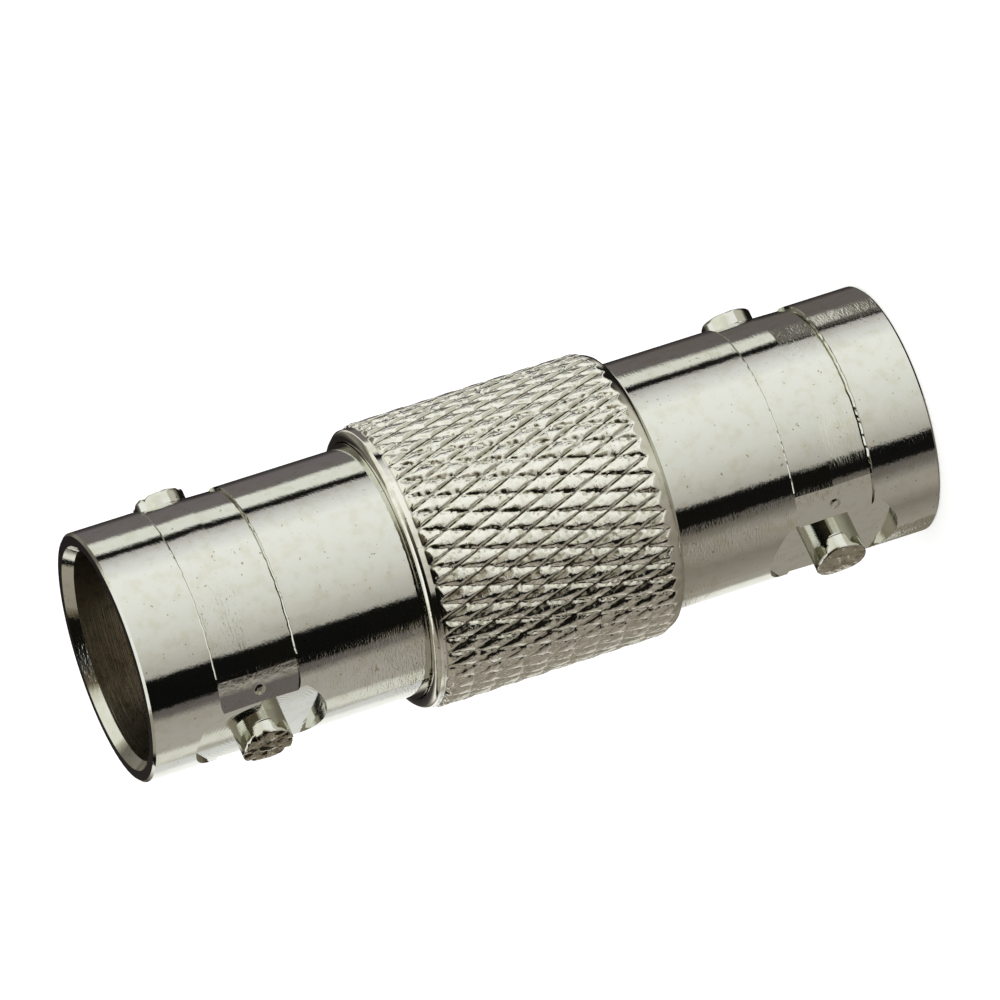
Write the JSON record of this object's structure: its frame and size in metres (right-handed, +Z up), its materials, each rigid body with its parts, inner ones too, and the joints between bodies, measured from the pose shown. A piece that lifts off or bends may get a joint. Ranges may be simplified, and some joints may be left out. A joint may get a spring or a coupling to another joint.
{
  "type": "bnc connector",
  "caption": "Straight coaxial coupler with a bayonet jack at each end and a diamond-knurled grip between, bright nickel plated.",
  "frame": {"origin": "centre of the rear jack's mouth, where the coupler stands on its end", "axes": "+Z up the coupler's axis towards the front jack's mouth, +X through one bayonet lug of each jack"},
  "size_m": [0.0112, 0.0112, 0.0318],
  "materials": {
    "nickel_plating": "bright nickel plate over turned and milled brass",
    "insulator": "turned white fluoropolymer",
    "gold_plating": "thin gold plate over turned brass"
  },
  "bodies": {
    "root": {"knurled_body": "nickel_plating", "front_shell": "nickel_plating", "rear_insulator": "insulator", "front_insulator": "insulator", "centre_contact": "gold_plating"}
  },
  "joints": []
}
